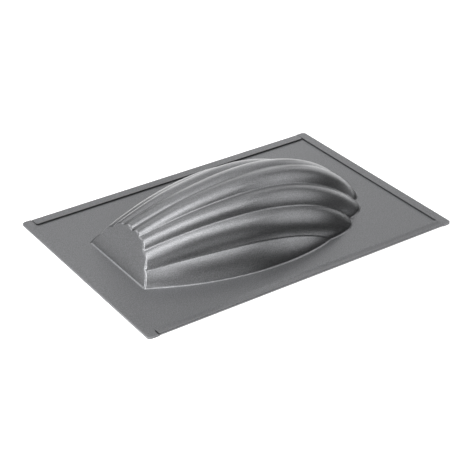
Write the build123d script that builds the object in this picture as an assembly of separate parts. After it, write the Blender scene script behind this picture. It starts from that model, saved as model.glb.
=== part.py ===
from build123d import *

import os
from math import cos, pi, radians, sin, sqrt, tan

# Large madeleine mould, lying with its cavity down, as it is stored and cooled.
# Millimetres. The origin is at the middle of the flange, on the face that rests on a table.
# X runs from the heel of the shell to its toe, Y across the shell, Z up.
# One blank of coated steel is pressed into a flat flange and a fluted shell.
# All four edges of the blank are folded back over the flange as flat hems.

# Sheet
sheet_gauge = 0.8

# Shell
shell_length = 270.8
shell_width = 176.0
shell_height = 53.2
heel_width = 98.4
heel_lean = 28.8
widest_share = 0.5048

# Flange: how far it reaches beyond the shell, and its corners
heel_reach = 38.3
toe_reach = 40.9
side_reach = 33.0
corner_radius = 5.0

# Hems: the side hems stop short of the end hems
hem_width = 10.5
near_hem_width = 10.0
far_hem_width = 11.0
hem_opening = 0.5
heel_clearance = 1.0
toe_clearance = 0.4
hem_corner_radius = 2.5

# The near hem isn't pressed quite flat: its bend is wider, and part of its leaf slopes.
# Slopes are in degrees, each with its place as a share of the hem's length from the heel.
sprung_opening = 1.0
sprung_slopes = ((0.0, 4.0), (0.2, 5.0), (0.42, 9.0), (0.62, 9.0), (0.74, 1.0), (1.0, 0.0))
pressed_slopes = ((0.0, 0.0), (1.0, 0.0))
slope_start_share = 0.25
slope_end_share = 0.75

# Flutes and rounded edges
flute_count = 8
heel_rise_share = 0.14
toe_rise_share = 0.18
side_rise_share = 0.08
valley_radius = 2.2
root_share = 0.9
heel_edge_radius = 2.4

# The blank of the shell runs on behind the heel and under the flange, to be trimmed there.
trim_run = 15.0
trim_depth = 7.0
skirt_depth = 3.0
skirt_spread = 2.0
overrun = 20.0
match_tolerance = 0.01

# Sections along the shell: behind the widest place, and in front of it
heel_section_count = 6
toe_section_count = 7

# Valleys between flutes, from the one beside the flange to the one on the centre line.
# Heel across shares are of half the heel's width, the others of half the shell's width,
# up and drop shares of its height, and along shares of its length.
heel_across_shares = (0.821, 0.559, 0.297, 0.0)
heel_up_shares = (0.246, 0.476, 0.609, 0.620)
widest_across_shares = (0.80, 0.5375, 0.2716, 0.0)
peak_along_shares = (0.387, 0.434, 0.513, 0.547)
peak_up_shares = (0.372, 0.733, 0.898, 1.0)
toe_along_shares = (0.7245, 0.8735, 0.970, 1.0)
toe_across_shares = (0.883, 0.6385, 0.3466, 0.0)
toe_drop_shares = (0.283, 0.421, 1.44, 0.276)

# The lower edge of the outermost flute ends a little short of the first valley.
skirt_end_share = 0.92

# Places worked out from the sizes above
flange_length = heel_reach + shell_length + toe_reach
flange_width = shell_width + 2 * side_reach
half_width = shell_width / 2
heel_x = heel_reach - flange_length / 2
widest_run = shell_length * widest_share
widest_x = heel_x + widest_run
toe_x = heel_x + shell_length
root_radius = valley_radius * root_share
bend_radius = sheet_gauge + hem_opening / 2
sprung_radius = sheet_gauge + sprung_opening / 2
hem_height = 2 * bend_radius
side_hem_start = hem_width + heel_clearance - flange_length / 2
side_hem_end = flange_length / 2 - hem_width - toe_clearance
side_hem_length = side_hem_end - side_hem_start
side_hem_middle = (side_hem_start + side_hem_end) / 2


def along(share):
    """Place along X at a share of the shell's length."""
    return heel_x + shell_length * share


def heel_face_x(height):
    """Place along X of the leaning heel wall at a height."""
    return heel_x + height * tan(radians(heel_lean))


def base_half_width(x):
    """Half the width of the shell where it meets the flange."""
    if x < widest_x:
        rise = half_width - heel_width / 2
        radius = (widest_run**2 + rise**2) / (2 * rise)
        return half_width - radius + sqrt(radius**2 - (widest_x - x) ** 2)
    run = along(toe_along_shares[0]) - widest_x
    narrowing = half_width * (1 - toe_across_shares[0])
    return half_width - narrowing * ((x - widest_x) / run) ** 2


def valley_across(row, x):
    """Distance of a valley from the centre line: a curve through its heel, middle and toe."""
    knots = (
        (heel_face_x(shell_height * heel_up_shares[row]), heel_width / 2 * heel_across_shares[row]),
        (widest_x, half_width * widest_across_shares[row]),
        (along(toe_along_shares[row]), half_width * toe_across_shares[row]),
    )
    total = 0
    for knot, across in knots:
        weight = 1
        for other, _ in knots:
            if other != knot:
                weight *= (x - other) / (knot - other)
        total += across * weight
    return total


def toe_ellipse(row):
    """Centre, run and rise of the ellipse that a valley follows from its peak to its toe."""
    peak_x = along(peak_along_shares[row])
    drop = shell_height * toe_drop_shares[row]
    rise = shell_height * peak_up_shares[row] + drop
    run = (along(toe_along_shares[row]) - peak_x) / sqrt(1 - (drop / rise) ** 2)
    return peak_x, -drop, run, rise


def valley_end(row):
    """Place along X where a valley reaches the trimming depth."""
    centre_x, centre_z, run, rise = toe_ellipse(row)
    return centre_x + run * sqrt(1 - ((-trim_depth - centre_z) / rise) ** 2)


def valley_up(row, x):
    """Height of a valley: a round arc behind its peak and an ellipse in front of it."""
    centre_x, centre_z, run, rise = toe_ellipse(row)
    if x >= centre_x:
        return centre_z + rise * sqrt(max(1 - ((x - centre_x) / run) ** 2, 0))
    foot = shell_height * heel_up_shares[row]
    back_run = centre_x - heel_face_x(foot)
    fall = centre_z + rise - foot
    radius = (back_run**2 + fall**2) / (2 * fall)
    return foot + fall - radius + sqrt(radius**2 - (centre_x - x) ** 2)


def valley_point(index, station):
    """Point of a valley, counted across the shell. Station -1 is behind the heel, 1 at the toe."""
    side = -1 if index <= flute_count / 2 else 1
    row = min(index, flute_count - index) - 1
    turn = max(station, 0) * pi / 2
    end_x = valley_end(max(row, 0))
    if row < 0:
        end_x = widest_x + (along(toe_along_shares[0]) - widest_x) * skirt_end_share
    x = widest_x + (end_x - widest_x) * sin(turn)
    if station < 0:
        x = widest_x + (widest_run + trim_run) * station
    if row < 0:
        z = -skirt_depth - (trim_depth - skirt_depth) * (1 - cos(turn))
        return Vector(x, side * (base_half_width(x) + skirt_spread), z)
    return Vector(x, side * valley_across(row, x), valley_up(row, x))


def shell_section(station, inset):
    """Scalloped outline of the shell at a station, drawn in by an inset."""
    turn = max(station, 0) * pi / 2
    travel = Vector((toe_x - widest_x) * cos(turn), 0, -shell_height * sin(turn)).normalized()
    rise_share = heel_rise_share + (toe_rise_share - heel_rise_share) * (1 + station) / 2
    valleys = [valley_point(index, station) for index in range(flute_count + 1)]
    crests = []
    normals = []
    for index in range(flute_count):
        chord = valleys[index + 1] - valleys[index]
        normal = travel.cross(chord).normalized()
        width = (chord - travel * chord.dot(travel)).length
        side_flute = index in (0, flute_count - 1)
        rise = width * (side_rise_share if side_flute else rise_share)
        middle = (valleys[index] + valleys[index + 1]) / 2
        crests.append(middle + normal * (rise - inset))
        normals.append(normal)
    creases = []
    for index, point in enumerate(valleys):
        out = normals[max(index - 1, 0)] + normals[min(index, flute_count - 1)]
        creases.append(point - out.normalized() * inset)
    below = Vector(-sin(turn), 0, -cos(turn)) * trim_depth
    edges = []
    for index, crest in enumerate(crests):
        edges.append(Edge.make_three_point_arc(creases[index], crest, creases[index + 1]))
    corners = (creases[-1], creases[-1] + below, creases[0] + below, creases[0])
    for start, end in zip(corners, corners[1:]):
        edges.append(Edge.make_line(start, end))
    return Wire(edges)


def shell_body(inset):
    """Solid inside the shell's skin, drawn in by an inset, cut off at the heel wall."""
    stations = [index / heel_section_count - 1 for index in range(heel_section_count)]
    stations += [index / toe_section_count for index in range(toe_section_count + 1)]
    blank = Solid.make_loft([shell_section(station, inset) for station in stations])
    lean = radians(heel_lean)
    heel_wall = Plane(
        origin=(heel_x + inset / cos(lean), 0, 0),
        x_dir=(0, 1, 0),
        z_dir=(cos(lean), 0, -sin(lean)),
    )
    reach = shell_length + overrun
    in_front = Box(reach, reach, reach, align=(Align.CENTER, Align.CENTER, Align.MIN))
    return blank & (heel_wall * in_front)


def lies_on_heel_wall(edge, inset):
    """Whether an edge lies in the heel wall of a shell drawn in by an inset."""
    shift = inset / cos(radians(heel_lean))
    return all(
        abs(point.X - shift - heel_face_x(point.Z)) < match_tolerance
        for point in (edge @ 0, edge @ 0.5, edge @ 1)
    )


def is_valley(edge):
    """Whether an edge of the shell runs between two flutes, above the flange."""
    return edge.length > shell_length / 2 and (edge @ 0.5).Z > 0


def pressing_die(inset):
    """Block with the shell on top, as one face of the sheet follows it."""
    top = sheet_gauge - inset
    reach = flange_length + overrun
    block = Pos(0, 0, top) * Box(
        reach, reach, trim_depth + top, align=(Align.CENTER, Align.CENTER, Align.MAX)
    )
    body = shell_body(inset)
    body = body.fillet(valley_radius + inset, [edge for edge in body.edges() if is_valley(edge)])
    brow = [
        edge for edge in body.edges()
        if lies_on_heel_wall(edge, inset) and (edge @ 0.5).Z > top
    ]
    body = body.fillet(heel_edge_radius - inset, brow)
    die = (block + body).clean()
    root = [
        edge for edge in die.edges()
        if all(abs((edge @ share).Z - top) < match_tolerance for share in (0, 0.5, 1))
        and (edge @ 0.5 - Vector(0, 0, top)).length < flange_length / 2
        and abs((edge @ 0.5).Y) < half_width + skirt_spread
    ]
    return die.fillet(root_radius + inset, root)


def mould_outline(shape):
    """Part of a shape inside the rounded plan of the whole mould."""
    outline = RectangleRounded(flange_length, flange_width, corner_radius)
    return shape & extrude(outline, amount=shell_height + overrun)


def pressed_sheet():
    """Flange and fluted shell as one pressed sheet, without the edges that turn up as hems."""
    sheet = mould_outline(pressing_die(0) - pressing_die(sheet_gauge))
    for side in (-1, 1):
        end_fold = Pos(side * (flange_length / 2 - bend_radius), 0, 0) * Box(
            overrun, flange_width + overrun, overrun,
            align=(Align.MIN if side > 0 else Align.MAX, Align.CENTER, Align.CENTER),
        )
        side_radius = bend_radius if side > 0 else sprung_radius
        side_fold = Pos(side_hem_middle, side * (flange_width / 2 - side_radius), 0) * Box(
            side_hem_length, overrun, overrun,
            align=(Align.CENTER, Align.MIN if side > 0 else Align.MAX, Align.CENTER),
        )
        sheet = sheet - end_fold - side_fold
    return sheet


def hem_section(width, radius, slope):
    """Section of a folded edge, drawn across the hem: X outward from the fold line, Y up.

    The leaf runs level from the bend, rises at a slope and ends level.
    """
    hollow = radius - sheet_gauge
    slope_start = (radius - width) * slope_start_share
    slope_end = (radius - width) * slope_end_share
    rise = (slope_start - slope_end) * tan(radians(slope))
    leaf_end = radius - width
    middle = (0, radius)
    outline = [
        CenterArc(middle, radius, -90, 180),
        Spline(
            (0, 2 * radius), (slope_start, 2 * radius), (slope_end, 2 * radius + rise),
            (leaf_end, 2 * radius + rise), tangents=((-1, 0), (-1, 0)),
        ),
        Line((leaf_end, 2 * radius + rise), (leaf_end, radius + hollow + rise)),
        Spline(
            (leaf_end, radius + hollow + rise), (slope_end, radius + hollow + rise),
            (slope_start, radius + hollow), (0, radius + hollow), tangents=((1, 0), (1, 0)),
        ),
        CenterArc(middle, hollow, 90, -180),
        Line((0, sheet_gauge), (0, 0)),
    ]
    return Wire([edge for curve in outline for edge in curve.edges()])


def hem(length, width, radius, slopes):
    """Folded edge of a length, its fold line along Y through the origin, bending to +X.

    Its heel end is at +Y. The slopes of its leaf are given against shares of its length.
    """
    sections = []
    for share, slope in slopes:
        upright = Plane(
            origin=(0, length * (0.5 - share), 0), x_dir=(1, 0, 0), z_dir=(0, -1, 0)
        )
        sections.append(upright * hem_section(width, radius, slope))
    return Solid.make_loft(sections)


def leaf_corners(shape):
    """The two short upright edges at the free corners of a hem's return leaf."""
    return [
        edge for edge in shape.edges()
        if abs(edge.length - sheet_gauge) < match_tolerance and (edge @ 0.5).X < -hem_width / 2
    ]


def end_hem(side):
    """Hem across the whole width of the flange, at the heel (-1) or the toe (1)."""
    turned = Rot(0, 0, 0 if side > 0 else 180) * hem(
        flange_width, hem_width, bend_radius, pressed_slopes
    )
    return mould_outline(Pos(side * (flange_length / 2 - bend_radius), 0, 0) * turned)


def side_hem(side, width, radius, slopes):
    """Hem along a long edge, between the end hems, on the near (-1) or far (1) side."""
    blank = hem(side_hem_length, width, radius, slopes)
    blank = blank.fillet(hem_corner_radius, leaf_corners(blank))
    if side > 0:
        blank = blank.mirror(Plane.XZ)
    turned = Rot(0, 0, 90 * side) * blank
    return Pos(side_hem_middle, side * (flange_width / 2 - radius), 0) * turned


pieces = {
    "pressed_sheet": pressed_sheet(),
    "heel_end_hem": end_hem(-1),
    "toe_end_hem": end_hem(1),
    "near_side_hem": side_hem(-1, near_hem_width, sprung_radius, sprung_slopes),
    "far_side_hem": side_hem(1, far_hem_width, bend_radius, pressed_slopes),
}
os.makedirs("parts", exist_ok=True)
for name, piece in pieces.items():
    export_step(piece, f"parts/{name}.step")
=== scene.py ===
"""Large madeleine mould: its coating, and the studio it is shown in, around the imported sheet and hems."""

import logging
import math
from dataclasses import dataclass
from enum import Enum

import bpy
from mathutils import Matrix, Vector

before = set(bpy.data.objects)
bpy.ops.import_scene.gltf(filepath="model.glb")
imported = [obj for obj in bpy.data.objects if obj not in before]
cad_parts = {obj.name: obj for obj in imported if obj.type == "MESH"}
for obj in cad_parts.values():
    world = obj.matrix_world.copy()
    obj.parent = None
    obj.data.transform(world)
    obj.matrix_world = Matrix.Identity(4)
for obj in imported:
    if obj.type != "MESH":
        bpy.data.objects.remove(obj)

log = logging.getLogger("madeleine_mould")

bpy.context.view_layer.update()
OPAQUE = 1.0
WHITE = (1.0, 1.0, 1.0, OPAQUE)


class Edge(Enum):
    """The folded edges of the mould, by the name of their hem."""

    HEEL_END = "heel_end_hem"
    TOE_END = "toe_end_hem"
    NEAR_SIDE = "near_side_hem"
    FAR_SIDE = "far_side_hem"


def link(tree: bpy.types.NodeTree, source: bpy.types.NodeSocket, target: bpy.types.NodeSocket) -> None:
    """Join two sockets of a node tree."""
    tree.links.new(source, target)


def math_node(tree: bpy.types.NodeTree, operation: str, *values: object) -> bpy.types.NodeSocket:
    """Add a math node.

    Args:
        tree: The node tree it goes into.
        operation: The name of the sum.
        values: A number or a socket for each input, in order.

    Returns:
        The node's output socket.
    """
    node = tree.nodes.new("ShaderNodeMath")
    node.operation = operation
    for socket, value in zip(node.inputs, values):
        if isinstance(value, bpy.types.NodeSocket):
            link(tree, value, socket)
        else:
            socket.default_value = value
    return node.outputs[0]


def remap(
    tree: bpy.types.NodeTree,
    value: bpy.types.NodeSocket,
    source: tuple[float, float],
    target: tuple[float, float] = (0.0, 1.0),
) -> bpy.types.NodeSocket:
    """Stretch a value from one range to another.

    Args:
        tree: The node tree it goes into.
        value: The socket with the value.
        source: Lowest and highest value that come in.
        target: What they become.

    Returns:
        The socket with the stretched value.
    """
    node = tree.nodes.new("ShaderNodeMapRange")
    for label, number in zip(("From Min", "From Max", "To Min", "To Max"), (*source, *target)):
        node.inputs[label].default_value = number
    link(tree, value, node.inputs["Value"])
    return node.outputs["Result"]


@dataclass(frozen=True)
class Noise:
    """One layer of noise: how fine it is, and how much finer detail lies in it."""

    scale: float
    detail: float


@dataclass(frozen=True)
class CoatGrain:
    """The fine sprayed grain of the non-stick coating, as a shader group that both finishes share.

    Fields:
        name: The group's name.
        fleck: The metallic flecks.
        pebble: The pebbled surface.
        cloud: The slow change in roughness.
        fleck_height: How high the flecks stand, as a share of the pebbles' height.
    """

    name: str = "coat_grain"
    fleck: Noise = Noise(1100.0, 2.0)
    pebble: Noise = Noise(700.0, 3.0)
    cloud: Noise = Noise(14.0, 4.0)
    fleck_height: float = 0.4

    def group(self) -> bpy.types.NodeTree:
        """Build the group once, and give it back after that.

        Returns:
            The group, with Fleck, Cloud and Height outputs.
        """
        found = bpy.data.node_groups.get(self.name)
        if found is not None:
            return found
        tree = bpy.data.node_groups.new(self.name, "ShaderNodeTree")
        for label in ("Fleck", "Cloud", "Height"):
            tree.interface.new_socket(label, in_out="OUTPUT", socket_type="NodeSocketFloat")
        outputs = tree.nodes.new("NodeGroupOutput")
        place = tree.nodes.new("ShaderNodeTexCoord")
        layers = []
        for layer in (self.fleck, self.pebble, self.cloud):
            noise = tree.nodes.new("ShaderNodeTexNoise")
            noise.inputs["Scale"].default_value = layer.scale
            noise.inputs["Detail"].default_value = layer.detail
            link(tree, place.outputs["Object"], noise.inputs["Vector"])
            layers.append(noise.outputs["Fac"])
        fleck, pebble, cloud = layers
        link(tree, fleck, outputs.inputs["Fleck"])
        link(tree, cloud, outputs.inputs["Cloud"])
        height = math_node(tree, "ADD", pebble, math_node(tree, "MULTIPLY", fleck, self.fleck_height))
        link(tree, height, outputs.inputs["Height"])
        return tree


@dataclass(frozen=True)
class NonstickCoat:
    """Satin grey metallic non-stick coating.

    Fields:
        slot: Name of the coating's slot, which its material is named after.
        dark: Colour between the metallic flecks.
        light: Colour of the flecks.
        fleck_range: Fleck noise that gives the dark and the light colour.
        metallic: How metallic the coating looks.
        roughness: Middle roughness of the coating.
        roughness_spread: How far the roughness wanders to either side of it.
        cloud_range: Cloud noise that gives the lowest and the highest roughness.
        bump: Height of the grain, in metres.
    """

    slot: str
    dark: tuple[float, float, float] = (0.180, 0.182, 0.188)
    light: tuple[float, float, float] = (0.268, 0.271, 0.279)
    fleck_range: tuple[float, float] = (0.35, 0.65)
    metallic: float = 0.95
    roughness: float = 0.31
    roughness_spread: float = 0.03
    cloud_range: tuple[float, float] = (0.3, 0.7)
    bump: float = 0.00003

    def material(self) -> bpy.types.Material:
        """Build the material once, and give it back after that."""
        name = f"{self.slot}_finish"
        found = bpy.data.materials.get(name)
        if found is not None:
            return found
        material = bpy.data.materials.new(name)
        material.use_nodes = True
        tree = material.node_tree
        shader = tree.nodes["Principled BSDF"]
        grain = tree.nodes.new("ShaderNodeGroup")
        grain.node_tree = CoatGrain().group()
        tone = tree.nodes.new("ShaderNodeMix")
        tone.data_type = "RGBA"
        tone.inputs["A"].default_value = (*self.dark, OPAQUE)
        tone.inputs["B"].default_value = (*self.light, OPAQUE)
        link(tree, remap(tree, grain.outputs["Fleck"], self.fleck_range), tone.inputs["Factor"])
        link(tree, tone.outputs["Result"], shader.inputs["Base Color"])
        lowest = self.roughness - self.roughness_spread
        highest = self.roughness + self.roughness_spread
        wander = remap(tree, grain.outputs["Cloud"], self.cloud_range, (lowest, highest))
        link(tree, wander, shader.inputs["Roughness"])
        bump = tree.nodes.new("ShaderNodeBump")
        bump.inputs["Distance"].default_value = self.bump
        link(tree, grain.outputs["Height"], bump.inputs["Height"])
        link(tree, bump.outputs["Normal"], shader.inputs["Normal"])
        shader.inputs["Metallic"].default_value = self.metallic
        return material


SHEET_COAT = NonstickCoat("coated_sheet")
HEM_COAT = NonstickCoat("coated_hem")


def dress(node: str, coat: NonstickCoat) -> bpy.types.Object:
    """Give a CAD node its coating.

    Args:
        node: The node's name.
        coat: The coating it gets.

    Returns:
        The node's object.
    """
    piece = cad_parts[node]
    piece.data.materials.clear()
    piece.data.materials.append(coat.material())
    return piece


@dataclass
class PressedSheet:
    """The flange and the fluted shell, pressed from one sheet."""

    node: str = "pressed_sheet"
    coat: NonstickCoat = SHEET_COAT

    def build(self) -> list[bpy.types.Object]:
        """Dress the sheet."""
        return [dress(self.node, self.coat)]


@dataclass
class FoldedHems:
    """The four edges that are folded back over the flange."""

    coat: NonstickCoat = HEM_COAT

    def build(self) -> list[bpy.types.Object]:
        """Dress each hem."""
        return [dress(edge.value, self.coat) for edge in Edge]


@dataclass(frozen=True)
class LampBank:
    """Round soft lamps in an arc at one height, each aimed at the middle of the mould.

    Fields:
        name: The bank's name.
        elevation: How high the lamps stand, in degrees above the floor.
        width: Diameter of each lamp, in metres.
        lamps: Azimuth in degrees from +X towards +Y, and power in watts, of each lamp.
        distance: How far the lamps stand from the mould, in metres.
    """

    name: str
    elevation: float
    width: float
    lamps: tuple[tuple[float, float], ...]
    distance: float = 2.0

    def build(self) -> None:
        """Hang the lamps and aim them."""
        lift = math.radians(self.elevation)
        for azimuth, power in self.lamps:
            turn = math.radians(azimuth)
            level = Vector((math.cos(turn), math.sin(turn), 0.0))
            direction = level * math.cos(lift) + Vector((0.0, 0.0, math.sin(lift)))
            lamp = bpy.data.lights.new(f"{self.name}_{azimuth:.0f}", "AREA")
            lamp.shape = "DISK"
            lamp.size = self.width
            lamp.energy = power
            rig = bpy.data.objects.new(lamp.name, lamp)
            rig.location = direction * self.distance
            rig.rotation_euler = direction.to_track_quat("Z", "Y").to_euler()
            bpy.context.scene.collection.objects.link(rig)


@dataclass
class Studio:
    """Pale floor, unlit surroundings and soft lamps.

    Fields:
        floor_size: Length of the floor's sides, in metres.
        floor_drop: How far the floor lies below the mould, in metres.
        floor_colour: The floor's own colour.
        floor_roughness: The floor's roughness.
        floor_glow: What the floor adds to its own light where it is seen or mirrored.
        room_level: Strength of the light from the surroundings.
        banks: The lamps.
    """

    floor_size: float = 12.0
    floor_drop: float = 0.0001
    floor_colour: tuple[float, float, float] = (0.80, 0.80, 0.80)
    floor_roughness: float = 0.9
    floor_glow: float = 0.55
    room_level: float = 0.0
    banks: tuple[LampBank, ...] = (
        LampBank("low_front", 12.0, 1.1, ((165.0, 17.2), (225.0, 35.8))),
        LampBank("low_back", 8.0, 0.9, ((30.0, 2.2), (60.0, 2.4))),
        LampBank("window", 24.0, 0.9, ((45.0, 1.55), (75.0, 1.25), (135.0, 4.1))),
        LampBank("front_fill", 38.0, 1.1, ((205.0, 8.5), (265.0, 1.6))),
        LampBank(
            "shaded", 42.0, 1.0,
            ((-30.0, 2.6), (0.0, 2.5), (30.0, 0.73), (60.0, 1.28), (90.0, 2.2), (120.0, 4.5)),
        ),
        LampBank("high", 61.0, 1.0, ((-20.0, 1.25), (20.0, 0.92), (60.0, 1.97), (180.0, 13.1), (220.0, 4.8))),
        LampBank("overhead", 79.0, 0.9, ((0.0, 3.5), (90.0, 4.25), (180.0, 3.3), (270.0, 0.9))),
    )

    def floor_material(self) -> bpy.types.Material:
        """White to the camera and in reflections where nothing shades it, and plain pale elsewhere."""
        material = bpy.data.materials.new("studio_floor")
        material.use_nodes = True
        tree = material.node_tree
        shader = tree.nodes["Principled BSDF"]
        shader.inputs["Base Color"].default_value = (*self.floor_colour, OPAQUE)
        shader.inputs["Roughness"].default_value = self.floor_roughness
        glow = tree.nodes.new("ShaderNodeEmission")
        glow.inputs["Color"].default_value = WHITE
        glow.inputs["Strength"].default_value = self.floor_glow
        both = tree.nodes.new("ShaderNodeAddShader")
        link(tree, shader.outputs["BSDF"], both.inputs[0])
        link(tree, glow.outputs["Emission"], both.inputs[1])
        path = tree.nodes.new("ShaderNodeLightPath")
        seen = math_node(tree, "MAXIMUM", path.outputs["Is Camera Ray"], path.outputs["Is Glossy Ray"])
        seen = math_node(tree, "MAXIMUM", seen, path.outputs["Is Transmission Ray"])
        pick = tree.nodes.new("ShaderNodeMixShader")
        link(tree, seen, pick.inputs["Fac"])
        link(tree, shader.outputs["BSDF"], pick.inputs[1])
        link(tree, both.outputs["Shader"], pick.inputs[2])
        link(tree, pick.outputs["Shader"], tree.nodes["Material Output"].inputs["Surface"])
        return material

    def build(self) -> None:
        """Lay the floor, set the surroundings and hang the lamps."""
        bpy.ops.object.select_all(action="DESELECT")
        bpy.ops.mesh.primitive_plane_add(size=self.floor_size, location=(0.0, 0.0, -self.floor_drop))
        floor = bpy.context.object
        floor.name = "studio_floor"
        floor.data.materials.append(self.floor_material())
        world = bpy.data.worlds.new("studio_surroundings")
        world.use_nodes = True
        room = world.node_tree.nodes["Background"]
        room.inputs["Color"].default_value = WHITE
        room.inputs["Strength"].default_value = self.room_level
        bpy.context.scene.world = world
        for bank in self.banks:
            bank.build()


@dataclass(frozen=True)
class PhotoCamera:
    """The camera, where the photograph was taken from.

    Fields:
        place: Where it stands, in metres.
        aim: The point of the floor in the middle of its view, in metres.
        roll: How far it leans over, in degrees.
        lens: Focal length, in millimetres.
        sensor: Width of the sensor, in millimetres.
        reach: Nearest and farthest distance that it shows, in metres.
    """

    place: tuple[float, float, float] = (-0.6570, -0.9651, 0.6806)
    aim: tuple[float, float, float] = (-0.0142, -0.0204, 0.0011)
    roll: float = -0.41
    lens: float = 104.28
    sensor: float = 36.0
    reach: tuple[float, float] = (0.01, 50.0)

    def build(self) -> None:
        """Set up the camera and make it the scene's."""
        data = bpy.data.cameras.new("photo_camera")
        data.lens = self.lens
        data.sensor_width = self.sensor
        data.dof.use_dof = False
        data.clip_start, data.clip_end = self.reach
        camera = bpy.data.objects.new("photo_camera", data)
        direction = Vector(self.aim) - Vector(self.place)
        turn = direction.to_track_quat("-Z", "Y").to_matrix()
        lean = Matrix.Rotation(math.radians(self.roll), 3, "Z")
        camera.matrix_world = Matrix.Translation(self.place) @ (turn @ lean).to_4x4()
        bpy.context.scene.collection.objects.link(camera)
        bpy.context.scene.camera = camera


def set_view() -> None:
    """Show colours as they are written."""
    bpy.context.scene.view_settings.view_transform = "Standard"


def main() -> None:
    """Dress the mould and set up its studio."""
    logging.basicConfig(level=logging.INFO, format="%(message)s")
    PhotoCamera().build()
    for part in (PressedSheet(), FoldedHems()):
        for piece in part.build():
            log.info("%s: %d faces", piece.name, len(piece.data.polygons))
    Studio().build()
    set_view()


if __name__ == "__main__":
    main()
